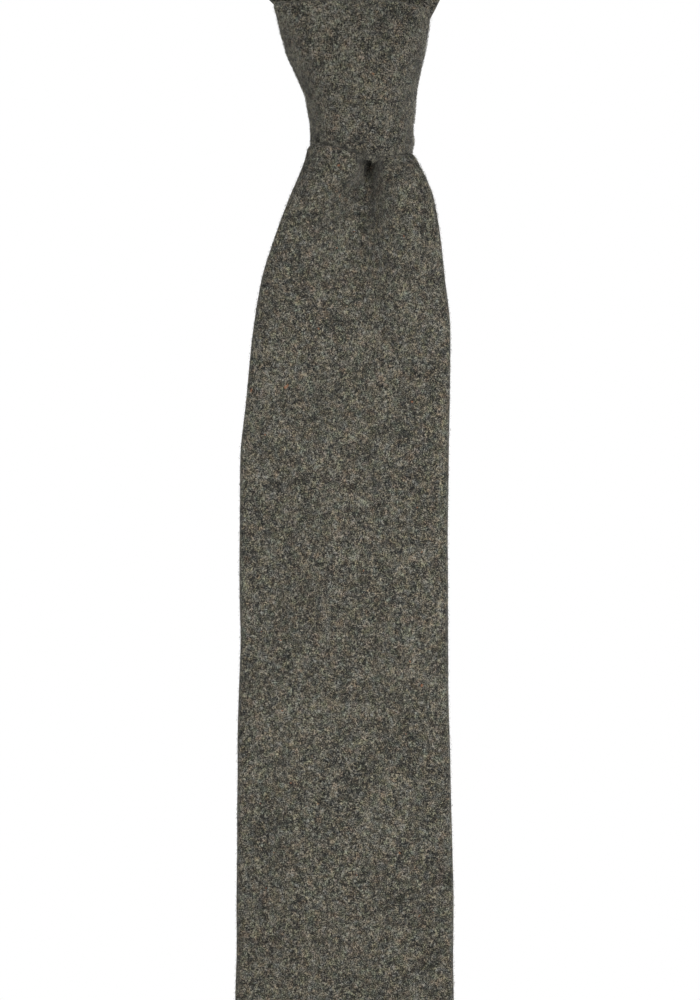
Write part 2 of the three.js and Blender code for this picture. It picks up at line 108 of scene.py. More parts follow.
neck_mean = NECK_GIRTH / (2 * math.pi)
neck_half_depth = neck_mean * math.sqrt(2) / math.hypot(1, NECK_ROUNDNESS)
neck_half_width = neck_half_depth * NECK_ROUNDNESS
knot_base = -KNOT_BELOW - KNOT_HEIGHT
strap_back_y = -(neck_half_depth + GAP + STRAP_THICKNESS / 2)
wrap_back_y = strap_back_y - STRAP_THICKNESS / 2 - GAP
knot_middle_y = wrap_back_y - KNOT_DEPTH / 2
wrap_front_y = wrap_back_y - KNOT_DEPTH
throat_half = KNOT_BASE_WIDTH / 2 - WRAP_THICKNESS - GAP * 2
throat_thickness = BLADE_THICKNESS * THROAT_SHARE
inner_back_y = wrap_back_y - WRAP_THICKNESS - GAP
tail_top_y = inner_back_y - CLOTH - GAP * 2 - TAIL_THICKNESS / 2
arm_thickness = BAND_THICKNESS * ARM_SHARE
right_arm_y = inner_back_y - CLOTH - GAP - arm_thickness / 2
left_arm_y = right_arm_y - arm_thickness
blade_top_y = knot_middle_y - BASE_FRONT * KNOT_DEPTH + WRAP_THICKNESS + GAP + throat_thickness / 2
strap_front_y = wrap_front_y + WRAP_THICKNESS + GAP * 4 + STRAP_THICKNESS / 2
top_left = KNOT_TOP_WIDTH * KNOT_LEFT_SHARE
top_right = KNOT_TOP_WIDTH - top_left


def lerp(a, b, t):
    return a + (b - a) * t


def smooth(x, low, high):
    t = np.clip((np.asarray(x, float) - low) / (high - low), 0, 1)
    return t * t * (3 - 2 * t)


def bell(x, middle, width):
    return np.exp(-(((x - middle) / width) ** 2))


class Table:
    """A smooth curve for each named column of a table, along its first column, that doesn't overshoot."""

    def __init__(self, names, rows):
        self.at, *self.values = np.array(rows, float).T
        self.names = names.split()[1:]

    def __call__(self, name, place):
        at, value = self.at, self.values[self.names.index(name)]
        slope = np.diff(value) / np.diff(at)
        before, after = slope[:-1], slope[1:]
        total = np.where(before * after > 0, before + after, 1)
        inner = np.where(before * after > 0, 2 * before * after / total, 0)
        tangent = np.concatenate([slope[:1], inner, slope[-1:]])
        place = np.clip(np.asarray(place, float), at[0], at[-1])
        i = np.clip(np.searchsorted(at, place, side="right") - 1, 0, len(slope) - 1)
        span = at[i + 1] - at[i]
        t = (place - at[i]) / span
        curve = lerp(value[i], value[i + 1], t * t * (3 - 2 * t))
        return curve + span * (t * (1 - t) ** 2 * tangent[i] - t * t * (1 - t) * tangent[i + 1])


# How the blade spreads below the knot's base, with places in shares of BLADE_WIDTH. left, right: 0 in the
# throat, 1 at full width. bow: how far the front bulges, in shares of BLADE_WIDTH. turn: how much of a half
# turn each half of it takes. forward: how far it comes forward, in shares of KNOT_DEPTH.
SPREAD = Table("below left right bow turn forward", [
    (-0.05, 0, 0, 0.09, 0.5, 0), (-0.012, 0.11, 0, 0.093, 0.5, 0),
    (0, 0.165, 0, 0.095, 0.5, 0), (0.02, 0.19, 0.11, 0.098, 0.5, 0.01),
    (0.037, 0.2, 0.285, 0.1, 0.5, 0.03), (0.057, 0.216, 0.365, 0.105, 0.5, 0.055),
    (0.078, 0.236, 0.415, 0.11, 0.5, 0.085), (0.1, 0.26, 0.47, 0.11, 0.5, 0.11),
    (0.143, 0.31, 0.575, 0.108, 0.5, 0.145), (0.225, 0.41, 0.725, 0.1, 0.48, 0.175),
    (0.4, 0.595, 0.87, 0.088, 0.45, 0.17), (0.57, 0.745, 0.96, 0.08, 0.42, 0.13),
    (0.79, 0.85, 1.067, 0.068, 0.38, 0.085), (1.09, 0.945, 1.035, 0.05, 0.32, 0.05),
    (1.35, 1.01, 1.005, 0.03, 0.25, 0.03), (1.75, 1, 1, 0.018, 0.2, 0.01),
])

# How far the folded edges stray from straight, at places below the knot's base.
EDGES = Table("below left right", [
    (50, 0, 0), (73, -0.5, 0.15),
    (92, -0.25, -0.1), (105, -0.15, -0.35),
    (118, -0.25, -0.45), (128, -0.65, -0.45),
    (144, -0.3, -0.4), (157, -0.05, -0.2),
    (170, -0.05, -0.05), (183, -0.2, 0.15),
    (196, -0.2, 0.4), (209, -0.3, 0.25),
    (222, -0.05, 0.2), (260, 0.1, -0.2),
    (300, -0.2, 0.15), (350, 0.15, -0.1),
    (400, 0, 0),
])

# The trough in the blade's front. below, deep, wide: shares of BLADE_WIDTH. middle: millimetres right of
# the blade's hanging middle.
TROUGH = Table("below deep wide middle", [
    (-0.3, 0.047, 0.07, 5.95), (0, 0.047, 0.08, 5.95),
    (0.05, 0.042, 0.12, 5.7), (0.1, 0.044, 0.15, 5),
    (0.17, 0.048, 0.17, 4), (0.28, 0.052, 0.18, 2.8),
    (0.45, 0.052, 0.2, 1.6), (0.6, 0.043, 0.22, 0.6),
    (0.85, 0.028, 0.25, -2.5), (1.15, 0.014, 0.3, -5),
    (1.6, 0, 0.32, -6),
])

# Soft gathers fan out from the throat: place across, its change down the blade, width and height.
GATHERS = (
    (-0.62, -0.1, 0.1, 0.34),
    (-0.28, -0.12, 0.09, -0.26),
    (0.62, 0.12, 0.1, -0.3),
    (0.86, 0.04, 0.08, 0.26),
)
GATHER_SPREAD = 0.06

# Shallow creases run out of the dimple: the x and z at which each starts, the x and z at which it ends, its
# depth and its width.
CREASES = (
    (5.4, -8.6, -1.4, -13.2, 1.2, 1.5),
    (6.8, -10, 7.2, -19, 0.8, 2.2),
    (-4, -62, -9, -74, 0.5, 4),
)

# The dimple, a pit right under the knot that runs out in a fold. In the layer behind it is shallower.
PIT = Table("below deep wide middle", [
    (0.6, 0, 2.1, 6.8), (1.3, 2.4, 2.3, 6.8),
    (2.1, 5.4, 2.4, 6.8), (3.2, 7.4, 2.5, 6.8),
    (4.7, 7.8, 2.5, 6.8), (6.2, 6.8, 2.5, 6.7),
    (7.6, 4.6, 2.5, 6.5), (9, 2.7, 2.6, 6.3),
    (11, 1.5, 3, 5.9), (14, 0.8, 3.4, 5.2),
    (20, 0.3, 4, 4.2), (30, 0, 5, 3),
])
PIT_SQUARENESS = 2.8
PIT_BEHIND = 0.42
PIT_BEHIND_WIDER = 1.6

# Right under the knot the blade's front swells out until it lies level with the wrap's hem, HEM_STEP behind
# it. The share TUCKED of the swelling is tucked behind the hem. Places are below the hem, and for PUFF_FROM
# and PUFF_END below the knot's base.
HEM_STEP = 0.1
TUCKED = 0.36
TUCKED_FROM, TUCKED_TO = -2.6, -0.3
LEVEL_FROM, LEVEL_TO = 0.1, 0.75
PUFF_FROM, PUFF_END = 6, 60

# The swelling leaves a dish below the dimple, and the cloth is pressed in there by deep, besides.
DISH = Table("below deep wide middle", [
    (3, 0, 5, 6.8), (9, 0.6, 6.5, 6),
    (15, 1.4, 7.5, 4.6), (24, 2.3, 8.5, 2.6),
    (34, 2.2, 9, 1.8), (43, 1.3, 9, 3),
    (54, 0.5, 9, 5), (70, 0, 9, 6),
])

SAME_PLACE = 1e-7


def linked(name, data):
    made = bpy.data.objects.new(name, data)
    bpy.context.scene.collection.objects.link(made)
    return made


def mesh_object(name, points, faces, material):
    """An object from points in millimetres and an array of faces that all have as many corners."""
    mesh = bpy.data.meshes.new(name)
    points = np.asarray(points, float).reshape(-1, 3) * MM
    faces = np.asarray(faces, np.int64)
    corners = faces.shape[1]
    mesh.vertices.add(len(points))
    mesh.vertices.foreach_set("co", points.ravel())
    mesh.loops.add(faces.size)
    mesh.loops.foreach_set("vertex_index", faces.ravel())
    mesh.polygons.add(len(faces))
    mesh.polygons.foreach_set("loop_start", np.arange(0, faces.size, corners))
    mesh.polygons.foreach_set("loop_total", np.full(len(faces), corners))
    mesh.update(calc_edges=True)
    mesh.validate()
    mesh.polygons.foreach_set("use_smooth", np.ones(len(mesh.polygons), bool))
    mesh.materials.append(material)
    return linked(name, mesh)


def unit(vectors):
    return vectors / np.maximum(np.linalg.norm(vectors, axis=-1, keepdims=True), 1e-12)


def way_along(points, axis=0):
    """The way along a row of points, or along one axis of a grid of them, at each point."""
    i = np.arange(points.shape[axis])
    return np.take(points, np.minimum(i + 1, i[-1]), axis) - np.take(points, np.maximum(i - 1, 0), axis)


def rounded_sheet(name, grid, thickness, material, edge_steps=4, press=None):
    """A closed sheet round a grid of middle points, with rounded long edges. press can move its points."""
    grid = np.asarray(grid, float)
    rows, columns = grid.shape[:2]
    across = way_along(grid, 1)
    normal, across = unit(np.cross(across, way_along(grid))), unit(across)
    half = np.broadcast_to(np.asarray(thickness, float) / 2, (rows, columns))[..., None]
    top = grid + normal * half
    under = grid - normal * half
    ring = [top]
    for j, way in ((-1, 1), (0, -1)):
        for k in range(1, edge_steps):
            angle = math.pi * k / edge_steps
            cos, sin = math.cos(angle) * way, math.sin(angle) * way
            edge = grid[:, j] + half[:, j] * (normal[:, j] * cos + across[:, j] * sin)
            ring.append(edge[:, None])
        if way == 1:
            ring.append(under[:, ::-1])
    loop = np.concatenate(ring, 1)
    count = loop.shape[1]
    if press is not None:
        last = np.full(edge_steps - 1, columns - 1)
        source = np.concatenate([np.arange(columns), last, np.arange(columns)[::-1], last * 0])
        loop = press(loop, source)
    index = np.arange(rows * count).reshape(rows, count)
    a, b = index[:-1], index[1:]
    faces = np.stack([a, np.roll(a, -1, 1), np.roll(b, -1, 1), b], -1).reshape(-1, 4)
    upper = index[:, :columns]
    lower = index[:, columns + edge_steps - 1 : 2 * columns + edge_steps - 1][:, ::-1]
    k = np.arange(edge_steps // 2)
    for row, flip in ((0, -1), (-1, 1)):
        u, d = upper[row], lower[row]
        caps = [np.stack([u[:-1], u[1:], d[1:], d[:-1]], -1)]
        for first in (columns - 1, 2 * columns + edge_steps - 2):
            side = np.roll(index[row], -first)
            caps.append(side[np.stack([k, k + 1, edge_steps - 1 - k, edge_steps - k], -1)])
        faces = np.concatenate([faces, *(cap[:, ::flip] for cap in caps)])
    made = mesh_object(name, loop.reshape(-1, 3), faces, material)
    clean(made)
    return made


def clean(made):
    """Merges corners that meet, drops faces with no area, and turns the faces outward."""
    work = bmesh.new()
    work.from_mesh(made.data)
    bmesh.ops.remove_doubles(work, verts=work.verts, dist=SAME_PLACE)
    bmesh.ops.dissolve_degenerate(work, edges=work.edges, dist=SAME_PLACE)
    bmesh.ops.recalc_face_normals(work, faces=work.faces)
    if work.calc_volume(signed=True) < 0:
        bmesh.ops.reverse_faces(work, faces=work.faces)
    work.to_mesh(made.data)
    work.free()
    made.data.polygons.foreach_set("use_smooth", np.ones(len(made.data.polygons), bool))
    made.data.update()


PARTS = ("flap_left", "fold_left", "front", "fold_right", "flap_right")


def ring_parts(flap, fold, front):
    """Which part of a folded strip each point across it is on, and how far along that part."""
    bend = np.linspace(0, 1, fold + 1)[1:-1]
    flap_left, middle, flap_right = (np.linspace(0, 1, count) for count in (flap + 2, front + 1, flap + 1))
    along = [flap_left, bend, middle, bend, flap_right]
    return np.repeat(PARTS, [len(k) for k in along]), np.concatenate(along)


# The point's corners are folded cloth, so they are a little round.
CORNER_CUT = 0.9
CORNER_WIDTH = 2.2

# How far beside a place the line's direction is taken, and the turn below which a line counts as flat.
BESIDE = 0.004
FLAT_TURN = 0.01


def folded_lines(strip, steps, relief=None):
    """Across and outward places of a strip folded round a soft filling, one row for each place along it."""
    kind, k = ring_parts(*steps)
    column = lambda name, default=0.0: np.asarray(strip.get(name, default), float).reshape(-1, 1)
    left, right, thickness = column("left"), column("right"), column("thickness")
    bow, turn = column("bow"), np.maximum(column("turn"), 1e-3)
    lap, lifted = column("lap"), column("lifted", 1)
    half = (right - left - thickness) / 2
    middle = (left + right) / 2
    reach = np.sin(np.minimum(turn, math.pi / 2))
    edge = lap / 2 / half

    def line(u):
        across = np.where(turn > FLAT_TURN, np.sin(u * turn) / reach, u)
        curl = np.where(turn > FLAT_TURN, (1 - np.cos(u * turn)) / (1 - np.cos(turn)), 0)
        x = middle + half * across
        y = -bow * curl
        if relief is not None:
            y = y + relief(x, u)
        return x, y

    layer = (thickness - CLOTH) / 2
    lapped = np.minimum(np.maximum(edge, FLAP_OVERLAP / 2 / half), 0.5)
    ramp = np.minimum(FLAP_OVERLAP / 2 / half, 0.7)
    flap_left = edge + (-1 - edge) * k
    lift_at = (flap_left + lapped + ramp) / (ramp * 0.8)
    lift = lifted * (CLOTH + GAP) * smooth(lift_at, 0, 1)
    here = [kind == part for part in PARTS]
    u = np.select(here, [flap_left, -1, -1 + 2 * k, 1, 1 - (edge + 1) * k])
    distance = np.select(here, [-layer - lift, layer, layer, layer, -layer])
    angle = np.select(here, [0, -math.pi * (1 - k), 0, math.pi * k, 0])
    x, y = line(u)
    (ax, ay), (bx, by) = line(u - BESIDE), line(u + BESIDE)
    length = np.hypot(bx - ax, by - ay)
    nx, ny = -(by - ay) / length, (bx - ax) / length
    cos, sin = np.cos(angle), np.sin(angle)
    return x + distance * (nx * cos + ny * sin), y + distance * (ny * cos - nx * sin)


def point_shape(from_tip, half_width, thickness):
    """Half width of a strip near its point, and how far its flaps overlap and are lifted off each other."""
    edge = lerp(thickness * TIP_BLUNTNESS, half_width, np.clip(from_tip / half_width, 0, 1))
    edge = edge - CORNER_CUT * bell(from_tip, half_width, CORNER_WIDTH)
    parting = smooth(from_tip, half_width, half_width + HEM_OPENING)
    opening = -2 * np.maximum(edge - thickness / 2 - HEM, thickness * LEAST_OPENING)
    return edge, lerp(opening, FLAP_OVERLAP, parting), smooth(parting, 0.2, 0.7)


def flat_half(width, narrowing, drop, below):
    return width / 2 * (1 - narrowing * np.clip(1 - below / (drop - width / 2), 0, 1))


def blade_y(below):
    return blade_top_y - KNOT_DEPTH * SPREAD("forward", below / BLADE_WIDTH)


WAVES = (61.0, 37.0, 23.0)


def waver(below, size, phases=(0.0, 1.9, 4.1)):
    """A small irregular wander along a strip, so that no long edge is ruled."""
    total = 0
    for i, (wave, phase) in enumerate(zip(WAVES, phases)):
        total = total + np.sin(2 * math.pi * below / wave + phase) / (i + 1)
    return size * total / 1.8


def blade_strip(below):
    at = below / BLADE_WIDTH
    flat = flat_half(BLADE_WIDTH, BLADE_NARROWING, BLADE_DROP, below)
    from_tip = BLADE_DROP - below
    thickness = np.minimum(
        lerp(throat_thickness, BLADE_THICKNESS, smooth(at, 0, 0.5)),
        lerp(TIP_THICKNESS, BLADE_THICKNESS, smooth(from_tip, 0, BLADE_WIDTH / 2)),
    )
    edge, lap, lifted = point_shape(from_tip, BLADE_WIDTH / 2, thickness)
    calm = smooth(at, 0.3, 1.2)
    left = lerp(throat_half - KNOT_ASIDE, flat, SPREAD("left", at)) + EDGES("left", below)
    right = lerp(throat_half + KNOT_ASIDE, flat, SPREAD("right", at)) + EDGES("right", below)
    left = left + waver(below, 0.1) * calm
    right = right + waver(below, 0.1, (2.2, 0.4, 3.0)) * calm
    return {
        "left": -np.minimum(left, edge),
        "right": np.minimum(right, edge),
        "thickness": thickness,
        "bow": SPREAD("bow", at) * BLADE_WIDTH,
        "turn": SPREAD("turn", at) * math.pi * smooth(from_tip, 0, BLADE_WIDTH),
        "lap": lap,
        "lifted": lifted,
    }


def blade_relief(below):
    """The trough, the gathers and the waves of the blade, as heights at a place across it."""
    at = (below / BLADE_WIDTH)[:, None]
    row = below[:, None]

    def relief(x, u):
        trough = bell(x, TROUGH("middle", at), TROUGH("wide", at) * BLADE_WIDTH)
        y = -TROUGH("deep", at) * BLADE_WIDTH * trough
        fan = smooth(at, 0.02, 0.1) * (1 - smooth(at, 0.35, 1.1))
        for place, run, width, height in GATHERS:
            y = y + height * fan * bell(u, place + run * at, width + GATHER_SPREAD * at)
        # The blade never hangs quite flat.
        y = y + 0.28 * np.sin(row / 47 + x / 21 + 0.6) * smooth(at, 0.5, 1.5)
        y = y + 0.16 * np.sin(row / 19 - x / 13 + 2.1) * smooth(at, 0.3, 1.0)
        return y

    return relief


def wrap_low(cos, sin):
    """Height of the wrap's lower edge at a direction round the knot."""
    in_front = smooth(-sin, 0, 1)
    x = KNOT_ASIDE + KNOT_BASE_WIDTH / 2 * cos
    dip = KNOT_DIP * in_front * bell(x, DIP_MIDDLE, np.where(x < DIP_MIDDLE, DIP_LEFT, DIP_RIGHT))
    # Felted cloth has no ruled edge.
    dip = dip + 0.12 * np.sin(x * 3.1 + 1.0) + 0.09 * np.sin(x * 5.7 + 2.0)
    return knot_base - KNOT_SLANT / 2 * cos - dip + 1.2 * bell(sin, 0, 0.4) * (cos > 0)


def hem_cos(x):
    """The cosine of the direction round the knot in which the wrap's hem passes a place across the tie."""
    aside = x - KNOT_ASIDE
    left = lerp(KNOT_BASE_WIDTH / 2, top_left, WRAP("left", 0))
    right = lerp(KNOT_BASE_WIDTH / 2, top_right, WRAP("right", 0))
    share = np.clip(aside / np.where(aside < 0, left, right), -1, 1)
    return np.sign(share) * np.abs(share) ** (1 / WRAP_SQUARENESS)


def wrap_face(x):
    """Where the wrap's outside is at its hem, at a place across the tie."""
    cos = hem_cos(x)
    return knot_middle_y - BASE_FRONT * KNOT_DEPTH * np.sqrt(1 - cos * cos) ** WRAP_SQUARENESS


def blade_press(steps):
    """Puffs out the blade's front under the knot, and presses the dimple into it and the layer behind."""
    kind, k = ring_parts(*steps)
    fullness = (kind == "front") + k * (kind == "fold_left") + (1 - k) * (kind == "fold_right")
    behind = np.char.startswith(kind, "flap")

    def press(loop, source):
        x, z = loop[..., 0], loop[..., 2]
        row = knot_base - z
        cos = hem_cos(x)
        under = wrap_low(cos, -np.sqrt(1 - cos * cos)) - z
        column = np.arange(len(kind))
        at_hem = np.abs(under[:, column]).argmin(0)
        swell = loop[at_hem, column, 1] - wrap_face(x[at_hem, column]) - HEM_STEP
        share = lerp(smooth(under, LEVEL_FROM, LEVEL_TO), smooth(under, TUCKED_FROM, TUCKED_TO), TUCKED)
        dish = bell(x, DISH("middle", row), DISH("wide", row))
        share = share * (1 - smooth(row, PUFF_FROM, PUFF_END)) * (1 - dish * smooth(row, 3, 12))
        puff = np.maximum(swell * fullness, 0)[source] * share
        wider = np.where(behind[source], PIT_BEHIND_WIDER, 1)
        deep = np.where(behind[source], PIT_BEHIND, 1)
        aside = np.abs(x - PIT("middle", row)) / (PIT("wide", row) * wider)
        pit = PIT("deep", row) * deep * np.exp(-(aside**PIT_SQUARENESS))
        creases = 0
        for x0, z0, x1, z1, depth, width in CREASES:
            run, fall = x1 - x0, z1 - z0
            along = np.clip(((x - x0) * run - (row + z0) * fall) / (run**2 + fall**2), 0, 1)
            away = np.hypot(x - x0 - along * run, row + z0 + along * fall)
            fading = np.sin(math.pi * lerp(0.15, 1, along)) ** 0.5
            creases = creases + depth * bell(away, 0, width) * fading
        loop = loop.copy()
        loop[..., 1] += pit + DISH("deep", row) * dish - puff + creases * fullness[source]
        return loop

    return press


def hanging_grid(below, strip, face_y, steps, relief=None):
    x, outward = folded_lines(strip, steps, relief)
    y = face_y[:, None] - outward
    return np.stack(np.broadcast_arrays(x, y, knot_base - below[:, None]), -1)


def stations(*spans):
    """Places along a strip: each span is (start, end, step)."""
    parts = [np.arange(a, b, step) for a, b, step in spans]
    return np.concatenate([*parts, [spans[-1][1]]])


def wide_blade(material):
    below = stations(
        (-KNOT_INSIDE, -4, 2.0), (-4, 5, 0.25 * COARSER), (5, 12, 0.42 * COARSER),
        (12, 30, 0.8 * COARSER), (30, 80, 1.5 * COARSER), (80, 396, 2.8 * COARSER),
        (396, 404, 0.6), (404, BLADE_DROP - 6, 1.8), (BLADE_DROP - 6, BLADE_DROP, 0.6),
    )
    steps = (14, 9, 96 // COARSER)
    grid = hanging_grid(below, blade_strip(below), blade_y(below), steps, blade_relief(below))
    return rounded_sheet("wide_blade_cloth", grid, CLOTH, material, press=blade_press(steps))


def tail_strip(below):
    flat = flat_half(TAIL_WIDTH, TAIL_NARROWING, TAIL_DROP, below)
    settled = smooth(below, 0, TAIL_SETTLES)
    half = lerp(throat_half * TAIL_THROAT_SHARE, flat, settled)
    half = half + waver(below, 0.25, (1.0, 3.0, 5.0)) * settled
    from_tip = TAIL_DROP - below
    thickness = lerp(TIP_THICKNESS, TAIL_THICKNESS, smooth(from_tip, 0, TAIL_WIDTH / 2))
    edge, lap, lifted = point_shape(from_tip, TAIL_WIDTH / 2, thickness)
    aside = lerp(KNOT_ASIDE, 0, settled)
    return {
        "left": aside - np.minimum(half, edge),
        "right": aside + np.minimum(half, edge),
        "thickness": thickness,
        "lap": lap,
        "lifted": lifted,
    }


def tail_y(below):
    against = blade_y(below) + BLADE_THICKNESS / 2 + CLOTH + GAP * 3 + TAIL_THICKNESS / 2
    return lerp(tail_top_y, against, smooth(below, 0, TAIL_SETTLES))


def narrow_tail(material):
    spans = (-TAIL_STARTS, 0, 4.0), (0, 300, 3.0), (300, 322, 1.5), (322, 331, 0.7), (331, TAIL_DROP, 0.8)
    below = stations(*spans)
    relief = lambda x, u: 0.1 * np.sin(below[:, None] / 31 + x / 11)
    grid = hanging_grid(below, tail_strip(below), tail_y(below), (10, 8, 26), relief)
    return rounded_sheet("narrow_tail_cloth", grid, CLOTH, material)


# The wrap's outside. up: shares of KNOT_HEIGHT. left, right: 0 at the base's half width, 1 at the top's.
# front: shares of KNOT_DEPTH.
WRAP = Table("up left right front", [
    (-0.05, -0.04, -0.1, BASE_FRONT - 0.012), (0, -0.04, -0.04, BASE_FRONT + 0.003),
    (0.03, -0.04, 0.03, 0.46), (0.06, -0.045, 0.03, 0.48),
    (0.1, -0.04, -0.01, 0.5), (0.14, -0.035, -0.01, 0.51),
    (0.25, 0.02, 0.07, 0.54), (0.38, 0.115, 0.12, 0.565),
    (0.52, 0.33, 0.275, 0.57), (0.66, 0.56, 0.475, 0.56),
    (0.8, 0.73, 0.66, 0.54), (0.93, 0.95, 0.96, 0.51),
    (1, 1.2, 1.16, 0.47),
])


def wrap_grid(degrees, shares, inset):
    """Points of the wrap at directions round the knot and shares of its height, inset from its outside."""
    cos, sin = np.cos(np.radians(degrees))[:, None], np.sin(np.radians(degrees))[:, None]
    share = shares[None, :]
    in_front = smooth(-sin, 0, 1)
    behind = smooth(sin, -0.55, 0.3)
    low = wrap_low(cos, sin)
    high = knot_base + KNOT_HEIGHT - REAR_DROP * behind - RIGHT_DROP * smooth(cos, 0.2, 1) * (1 - behind)
    z = lerp(low, high, share)
    up = (z - knot_base) / KNOT_HEIGHT
    flare = np.where(cos < 0, WRAP("left", up), WRAP("right", up))
    half = lerp(KNOT_BASE_WIDTH / 2, np.where(cos < 0, top_left, top_right), flare)
    depth = np.where(sin < 0, WRAP("front", up) * KNOT_DEPTH, KNOT_DEPTH / 2)
    squared = lambda value: np.sign(value) * np.abs(value) ** WRAP_SQUARENESS
    x = KNOT_ASIDE + (half - inset) * squared(cos)
    y = knot_middle_y + (depth - inset) * squared(sin)
    # The pull of the blade leaves creases across the front, from the lower right to the upper left.
    across = (x - KNOT_ASIDE) / top_left
    run = up - 0.35 * across
    front = in_front * smooth(share, 0.0, 0.12) * (1 - smooth(share, 0.9, 1.0))
    crease = 0.34 * bell(run, 0.78, 0.07) - 0.3 * bell(run, 0.64, 0.08) - 0.22 * bell(run, 0.3, 0.1)
    crease = crease + 0.18 * np.sin(9 * across + 5 * up)
    return np.stack(np.broadcast_arrays(x, y + front * crease, z), -1)


def knot_wrap(material):
    slit = math.degrees(GAP * 2 / (KNOT_BASE_WIDTH / 2))
    degrees = np.linspace(WRAP_START, WRAP_START + 360 - slit, 200 // COARSER)
    shares = [np.linspace(0, 0.12, 14 // COARSER)[:-1], np.linspace(0.12, 1, 56 // COARSER)]
    shares = np.concatenate(shares)
    # The hem is thinner, so that it lies close on the blade.
    thickness = lerp(HEM_THICKNESS, WRAP_THICKNESS, smooth(shares, 0, 0.09)) - 0.5 * smooth(shares, 0.94, 1)
    margin = 0.3 * thickness / KNOT_HEIGHT
    shares = margin[0] + shares * (1 - margin[0] - margin[-1])
    grid = wrap_grid(degrees, shares, thickness[None, :] / 2)
    return rounded_sheet("knot_wrap_cloth", grid, thickness[None, :], material, 10)


# The way of the strap over the knot. up: shares of KNOT_HEIGHT. shift, slope, sag: shares of STRAP_WIDTH.
# back: 1 behind the knot, 0 inside it.
STRAP = Table("step up shift slope sag back", [
    (0, 0.24, 0.16, 0.5, 0, 1), (1, 0.5, 0.1, 0.3, 0.04, 1),
    (2, 0.74, 0.03, 0.1, 0.07, 1), (3, 0.89, -0.03, 0, 0.11, 0.97),
    (4, 1.02, -0.05, 0, 0.12, 0.84), (5, 1.085, -0.05, 0, 0.12, 0.62),
    (6, 1.085, -0.05, 0, 0.12, 0.38), (7, 1.02, -0.04, 0, 0.12, 0.16),
    (8, 0.88, -0.02, 0, 0.1, 0.03), (9, 0.72, 0, 0, 0.06, 0),
    (10, (KNOT_INSIDE + GAP) / KNOT_HEIGHT, 0, 0, 0, 0),
])


def knot_strap(material):
    step = np.linspace(0, 10, 90)[:, None]
    u = np.linspace(-1, 1, 36)[None, :] * (1 - STRAP_THICKNESS / 2 / STRAP_WIDTH)
    x = KNOT_ASIDE + STRAP_WIDTH * (STRAP("shift", step) + u / 2)
    y = lerp(strap_front_y + STRAP_BOW * u * u, strap_back_y, STRAP("back", step))
    z = knot_base + KNOT_HEIGHT * STRAP("up", step)
    z = z + STRAP_WIDTH * (STRAP("sag", step) * u * u + STRAP("slope", step) * u / 2)
    over = bell(step, 5.5, 2.6)
    z = z + over * (0.35 * np.sin(7 * u + 0.5) - 0.25 * bell(u, 0.1, 0.12))
    grid = np.stack(np.broadcast_arrays(x, y, z), -1)
    return rounded_sheet("knot_strap_cloth", grid, STRAP_THICKNESS, material, 8)


# Half of the neck band from the nape to the front: shares of its whole across, depth, height, width, lean.
BAND = [
    (0, 1, 1, 1, 1), (0.5, 0.866, 0.86, 1, 1),
    (0.866, 0.5, 0.48, 1, 0.9), (1, 0, 0, 1, 0.8),
    (0.92, -0.4, -0.24, 0.94, 0.6), (0.73, -0.74, -0.45, 0.84, 0.4),
]
# The arms at the knot: across, up, depth towards the arm's own layer, and width.
LEFT_ARM = [
    (-0.81, 1.55, 0.0, 0.7), (-0.62, 1.42, 0.45, 0.56),
    (-0.45, 1.26, 0.8, 0.44), (-0.315, 1.07, 1, 0.35),
    (-0.2, 0.91, 1, 0.32), (0, 0.74, 1, 0.3),
]
RIGHT_ARM = [
    (0.83, 1.53, 0.0, 0.7), (0.655, 1.4, 0.42, 0.56),
    (0.503, 1.22, 0.75, 0.44), (0.433, 1.02, 0.97, 0.36),
    (0.383, 0.89, 1, 0.32), (0.31, 0.76, 1, 0.24),
]


def band_stations():
    """x, y, z, width, thickness and lean of each station, from the left arm's end round the nape."""

    def round_neck(side, row):
        across, depth, height, width, lean = row
        x = side * across * (neck_half_width + BAND_THICKNESS / 2)
        y = depth * (neck_half_depth + BAND_THICKNESS / 2)
        return (x, y, height * NECK_TILT, width * BAND_WIDTH, BAND_THICKNESS, lean * BAND_LEAN)

    def arm(layer, row):
        x, up, depth, width = row
        y = lerp(-neck_half_depth, layer, depth)
        thickness = lerp(BAND_THICKNESS, arm_thickness, depth)
        return (x * KNOT_TOP_WIDTH, y, knot_base + up * KNOT_HEIGHT, width * BAND_WIDTH, thickness, 0)

    rows = [arm(left_arm_y, row) for row in reversed(LEFT_ARM)]
    rows += [round_neck(-1, row) for row in reversed(BAND[1:])]
    rows += [round_neck(1, row) for row in BAND]
    rows += [arm(right_arm_y, row) for row in RIGHT_ARM]
    return np.array(rows, float)


def centripetal(points, per_span):
    """A centripetal Catmull-Rom curve through points, and its stations' running number."""
    ends = [2 * points[0] - points[1], *points, 2 * points[-1] - points[-2]]
    out, number = [], []
    for i in range(len(points) - 1):
        p = [np.asarray(q) for q in ends[i : i + 4]]
        t = [0.0]
        for a, b in zip(p, p[1:]):
            t.append(t[-1] + max(np.linalg.norm(b - a), 1e-6) ** 0.5)
        for k in np.arange(per_span) / per_span:
            s = lerp(t[1], t[2], k)
            mix = lambda a, b, ta, tb: a * (tb - s) / (tb - ta) + b * (s - ta) / (tb - ta)
            first, second, third = (mix(p[j], p[j + 1], t[j], t[j + 1]) for j in range(3))
            early, late = mix(first, second, t[0], t[2]), mix(second, third, t[1], t[3])
            out.append(mix(early, late, t[1], t[2]))
            number.append(i + k)
    return np.array([*out, points[-1]]), np.array([*number, len(points) - 1])


